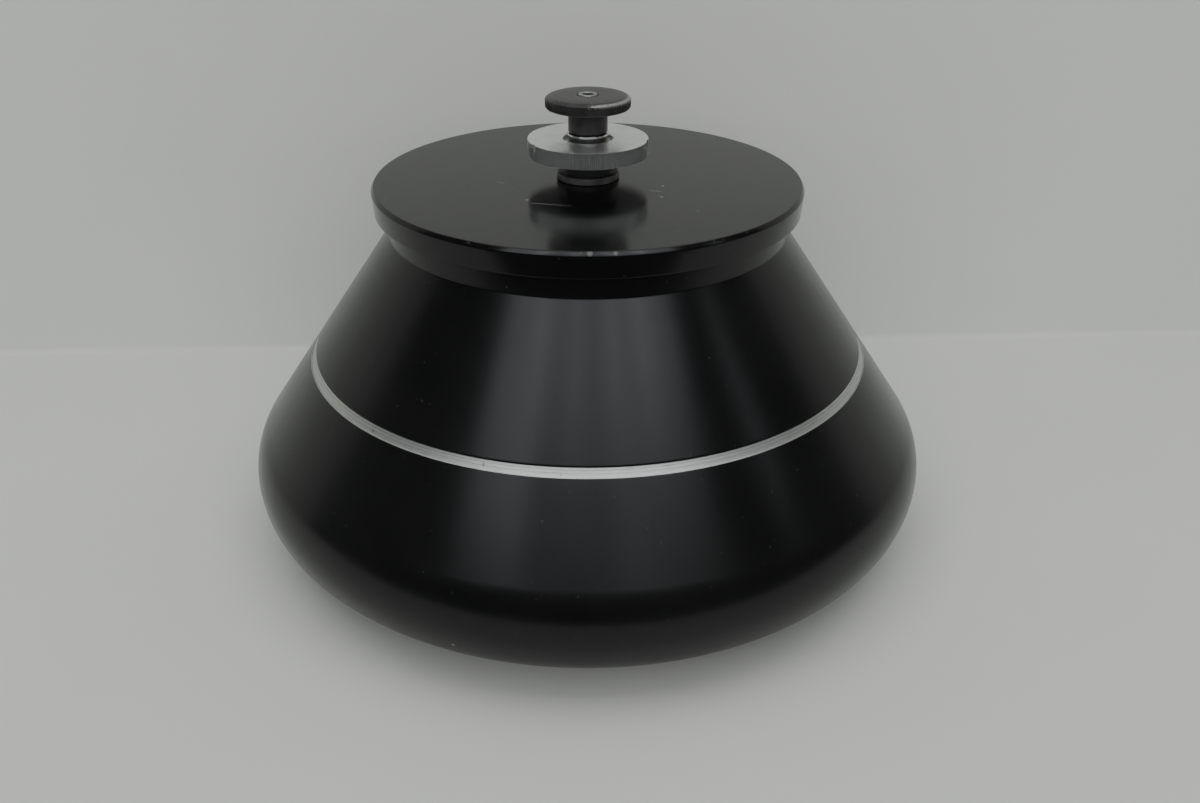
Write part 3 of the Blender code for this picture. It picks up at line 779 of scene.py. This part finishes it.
def make_sleeve():
    node = "knob_sleeve"
    low, high, head_r = foot(node), top(node), radius(node)
    head_low, head_high = LID_TOP_Z + 2.5 * MM, LID_TOP_Z + 7.7 * MM
    shank_r, bore = 7.8 * MM, 5.3 * MM
    seal_z = (foot("sleeve_o_ring") + top("sleeve_o_ring")) / 2.0
    clip_z = (foot("sleeve_clip") + top("sleeve_clip")) / 2.0
    bm = bmesh.new()
    spin_outline(bm, [
        (7.0 * MM, high), (7.0 * MM, head_high), (head_r, head_high), (head_r, head_low),
        (shank_r, head_low), *groove(shank_r, 6.6 * MM, seal_z, SMALL_GROOVE_HALF),
        *groove(shank_r, 7.1 * MM, clip_z, CLIP_GROOVE_HALF), (shank_r, 101.0 * MM),
        (7.2 * MM, 100.4 * MM), (7.2 * MM, low), (bore, low), (bore, high),
    ], 96)
    soften(bm, 0.2 * MM)
    helix(bm, 7.15 * MM, 7.78 * MM, low + 1.2 * MM, 99.2 * MM, 1.5 * MM)
    stand_for(add_piece("threaded_sleeve", bm, [DARK]), node, "lid_knob")


# ---- the tie-down -------------------------------------------------------------------------------

def make_tie_knob():
    node = "tie_down_knob"
    low, high, size = foot(node), top(node), radius(node)
    under = LID_TOP_Z + 23.2 * MM
    neck_r, bore, cap = 6.5 * MM, 5.1 * MM, high - 2.7 * MM
    steps = TIE_TEETH * 2
    flare = arc(neck_r + 1.9 * MM, under - 1.9 * MM, 1.9 * MM, 1.9 * MM, 90.0, 180.0, 8)
    bm = bmesh.new()
    spin_outline(bm, [
        (6.0 * MM, high), (9.5 * MM, high - 0.04 * MM), (12.1 * MM, high - 0.22 * MM),
        (13.3 * MM, high - 0.62 * MM), (13.85 * MM, high - 1.05 * MM), (size, high - 1.4 * MM),
        (size, high - 2.4 * MM), (size, under + 0.7 * MM), (13.6 * MM, under + 0.2 * MM),
        (13.1 * MM, under),
    ] + flare + [
        (neck_r, low + 0.3 * MM), (neck_r - 0.3 * MM, low), (bore, low), (bore, cap),
        (3.5 * MM, cap), (3.5 * MM, high - 0.2 * MM), (3.7 * MM, high),
    ], steps)
    number_columns(bm, steps)
    knurl(bm, size, 0.24 * MM, under + 0.2 * MM, high - 1.0 * MM, 0.35 * MM)
    stand_for(add_piece("knurled_tie_knob", bm, [ANODISED_KNOB], 40.0), node, "tie_down")


def make_spindle():
    node = "tie_down_spindle"
    low, high, size = foot(node), top(node), radius(node)
    seal_z = (foot("spindle_o_ring") + top("spindle_o_ring")) / 2.0
    clip_z = (foot("spindle_clip") + top("spindle_clip")) / 2.0
    root = size - 0.5 * MM
    thread_top = low + 17.0 * MM
    bm = bmesh.new()
    spin_outline(bm, [
        (0.0, high), (size, high), *groove(size, 3.8 * MM, seal_z, SMALL_GROOVE_HALF),
        *groove(size, 4.1 * MM, clip_z, CLIP_GROOVE_HALF),
        (size, thread_top + 1.5 * MM), (root, thread_top + 1.0 * MM), (root, low), (0.0, low),
    ], SMALL_STEPS)
    soften(bm, 0.25 * MM)
    helix(bm, root - 0.05 * MM, size, low + 1.0 * MM, thread_top, 1.25 * MM)
    stand_for(add_piece("threaded_spindle", bm, [STEEL]), node, "tie_down")


def make_small_tie_pieces():
    node = "thrust_bush"
    low, high, size = foot(node), top(node), radius(node)
    ring_foot = high - 0.8 * MM
    bush = turned("thrust_ring", [
        (size, high), (size, ring_foot), (6.2 * MM, ring_foot), (6.2 * MM, low),
        (5.1 * MM, low), (5.1 * MM, high),
    ], 96, [BRIGHT], 0.2 * MM)
    stand_for(bush, node, "spindle_carrier")
    node = "knob_bush"
    low, high, size = foot(node), top(node), radius(node)
    ring = turned("centre_ring", [
        (size, high), (size, low), (1.85 * MM, low), (1.85 * MM, high),
    ], 72, [BRASS_RING], 0.22 * MM)
    stand_for(ring, node, "tie_down")
    node = "centre_screw"
    low, high, size = foot(node), top(node), radius(node)
    screw = turned("centre_socket_screw", rod(size, low, high), 48, [DARK], 0.2 * MM)
    carve(screw, [plug(rod(0.95 * MM, high - 0.9 * MM, high + 1.0 * MM), 6)])
    stand_for(screw, node, "tie_down")


# ---- studio -------------------------------------------------------------------------------------

FLOOR_Y = 0.136
WALL_TURN = math.radians(2.2)
WALL_CURVE = 3.0 * MM
LIGHT_RANGE = 1.3
CAMERA_BACK = 0.3871
CAMERA_OVER_LID = 0.1182
# Near edge of the dark card of painted shade on the paper in front, seen only in reflections
SHADOW_CARD_EDGE_Y = -0.205


def make_camera():
    """35.7 mm lens, looking down 27.7 degrees from in front."""
    data = bpy.data.cameras.new("camera")
    data.sensor_width = 36.0
    data.lens = 35.66
    camera = bpy.data.objects.new("camera", data)
    aim = Matrix.Rotation(math.radians(-0.64), 4, "Z")
    aim = aim @ Matrix.Rotation(math.radians(90.0 - 27.68), 4, "X")
    aim = aim @ Matrix.Rotation(math.radians(0.23), 4, "Z")
    camera.matrix_world = shift(0.0, -CAMERA_BACK, LID_TOP_Z + CAMERA_OVER_LID) @ aim
    bpy.context.scene.collection.objects.link(camera)
    bpy.context.scene.camera = camera


def paper():
    """Pale paper, faintly creased."""
    paint = Paint("pale_paper")
    broad = paint.noise(paint.place, 5.0, 3.0)
    fine = paint.noise(paint.place, 60.0, 4.0)
    colour = paint.mix(broad, (0.715, 0.735, 0.700), (0.785, 0.805, 0.765))
    normal = paint.bump(broad, 0.35, 0.012)
    normal = paint.bump(fine, 0.10, 0.6 * MM, normal)
    return paint.finish(colour, 0.85, 0.0, normal)


def one_sided(material):
    """Seen from behind, the sheet isn't there, so that it hides nothing in a back view."""
    tree = material.node_tree
    out = tree.nodes["Material Output"]
    side = tree.nodes.new("ShaderNodeNewGeometry")
    clear = tree.nodes.new("ShaderNodeBsdfTransparent")
    blend = tree.nodes.new("ShaderNodeMixShader")
    tree.links.new(side.outputs["Backfacing"], blend.inputs[0])
    tree.links.new(tree.nodes["Principled BSDF"].outputs[0], blend.inputs[1])
    tree.links.new(clear.outputs[0], blend.inputs[2])
    tree.links.new(blend.outputs[0], out.inputs["Surface"])
    return material


def make_floor():
    bm = bmesh.new()
    bmesh.ops.create_grid(bm, x_segments=2, y_segments=2, size=3.0)
    bmesh.ops.translate(bm, verts=bm.verts, vec=(0.0, 0.0, -0.02 * MM))
    floor = add_piece("floor", bm, [paper()])


def make_wall():
    """The back sheet, which rises close behind the rotor in a small curve."""
    curve = WALL_CURVE
    bm = bmesh.new()
    points = [Vector((-1.6, 0.0, 0.0))]
    for i in range(9):
        angle = math.radians(90.0 * i / 8.0)
        points.append(Vector((-1.6, curve * math.sin(angle), curve * (1.0 - math.cos(angle)))))
    points.append(Vector((-1.6, curve + 0.02, 1.1)))
    verts = [bm.verts.new(p) for p in points[1:]]
    edges = [bm.edges.new(pair) for pair in zip(verts, verts[1:])]
    made = bmesh.ops.extrude_edge_only(bm, edges=edges)["geom"]
    moved = [v for v in made if isinstance(v, bmesh.types.BMVert)]
    bmesh.ops.translate(bm, verts=moved, vec=(3.2, 0.0, 0.0))
    bmesh.ops.recalc_face_normals(bm, faces=bm.faces)
    if sum((f.normal.y * f.calc_area() for f in bm.faces)) > 0.0:
        bmesh.ops.reverse_faces(bm, faces=bm.faces)
    bmesh.ops.transform(bm, matrix=shift(0.0, FLOOR_Y, 0.0) @ Matrix.Rotation(WALL_TURN, 4, "Z"),
                        verts=bm.verts)
    wall = add_piece("back_sheet", bm, [one_sided(paper())])


def area_light(name, azimuth, elevation, wide, high, level, far=LIGHT_RANGE, tint=(1, 1, 1)):
    """A soft light seen from the rotor at these angles. Azimuth 0 is in front, 90 to the right."""
    data = bpy.data.lights.new(name, "AREA")
    data.shape = "RECTANGLE"
    data.size = 2.0 * far * math.tan(math.radians(wide / 2.0))
    data.size_y = 2.0 * far * math.tan(math.radians(high / 2.0))
    data.energy = level * math.pi * data.size * data.size_y
    data.color = tint
    light = bpy.data.objects.new(name, data)
    a, e = math.radians(azimuth), math.radians(elevation)
    out = Vector((math.sin(a) * math.cos(e), -math.cos(a) * math.cos(e), math.sin(e)))
    light.location = Vector((0.0, 0.0, 0.07)) + out * far
    light.rotation_euler = (-out).to_track_quat("-Z", "Y").to_euler()
    bpy.context.scene.collection.objects.link(light)
    return light


def make_lights():
    cool = (0.93, 0.97, 1.0)
    for name, azimuth, elevation, wide, high, level in (
            ("front_left", -35.0, 42.0, 19.0, 27.0, 2.45),
            ("front_middle_left", -16.0, 47.0, 19.0, 21.0, 1.80),
            ("front_middle_right", 3.0, 47.0, 19.0, 21.0, 1.75),
            ("front_right", 21.0, 47.0, 17.0, 21.0, 2.15),
            ("front_far_right", 38.0, 46.0, 17.0, 20.0, 2.35),
            ("low_middle", -5.0, 32.0, 38.0, 9.0, 0.60),
            ("low_right", 29.0, 32.0, 28.0, 9.0, 1.10),
            ("right_strip", 70.0, 28.0, 6.0, 16.0, 1.10)):
        panel = area_light(name, azimuth, elevation, wide, high, level, tint=cool)
        panel.visible_diffuse = False
    area_light("overhead", 180.0, 80.0, 72.0, 62.0, 1.72)
    for name, elevation, high, level in (("fill", 52.0, 44.0, 0.62),
                                         ("wall_wash", 24.0, 26.0, 1.75)):
        fill = area_light(name, 0.0, elevation, 70.0, high, level, 1.6)
        fill.visible_glossy = False


def make_painted_shadow_card():
    """Painted shade: a dark card on the table in front, seen only in reflections, standing in for
    the shaded paper in front of the rotor.
    """
    bm = bmesh.new()
    bmesh.ops.create_grid(bm, x_segments=1, y_segments=1, size=1.5)
    bmesh.ops.scale(bm, vec=(1.0, 0.5, 1.0), verts=bm.verts)
    bmesh.ops.translate(bm, verts=bm.verts, vec=(0.0, SHADOW_CARD_EDGE_Y - 0.75, 0.5 * MM))
    paint = Paint("painted_shadow_black")
    # The card's black is painted shade of the paper in front, seen in reflections
    shadow_card = add_piece("painted_floor_shadow", bm, [paint.finish((0.05, 0.05, 0.05, 1.0), 0.9, 0.0)])
    shadow_card.visible_camera = False
    shadow_card.visible_diffuse = False
    shadow_card.visible_shadow = False


def make_world():
    world = bpy.data.worlds.new("room")
    world.use_nodes = True
    back = world.node_tree.nodes["Background"]
    back.inputs["Color"].default_value = (0.95, 0.98, 1.0, 1.0)
    back.inputs["Strength"].default_value = 0.10
    bpy.context.scene.world = world


make_camera()
make_body()
make_post()
make_hub()
make_pins_and_screws()
make_speed_ring()
make_lid()
make_o_ring("lid_seal", "lid_o_ring", "lid", WIDE_STEPS)
make_lid_knob()
make_sleeve()
make_o_ring("sleeve_seal", "sleeve_o_ring", "lid_knob", KNOB_STEPS)
make_clip("sleeve_spring_clip", "sleeve_clip", "lid_knob", 7.4 * MM)
make_tie_knob()
make_spindle()
make_o_ring("spindle_seal", "spindle_o_ring", "tie_down", KNOB_STEPS)
make_clip("spindle_spring_clip", "spindle_clip", "spindle_carrier", 4.4 * MM)
make_small_tie_pieces()
make_floor()
make_wall()
make_painted_shadow_card()
make_lights()
make_world()
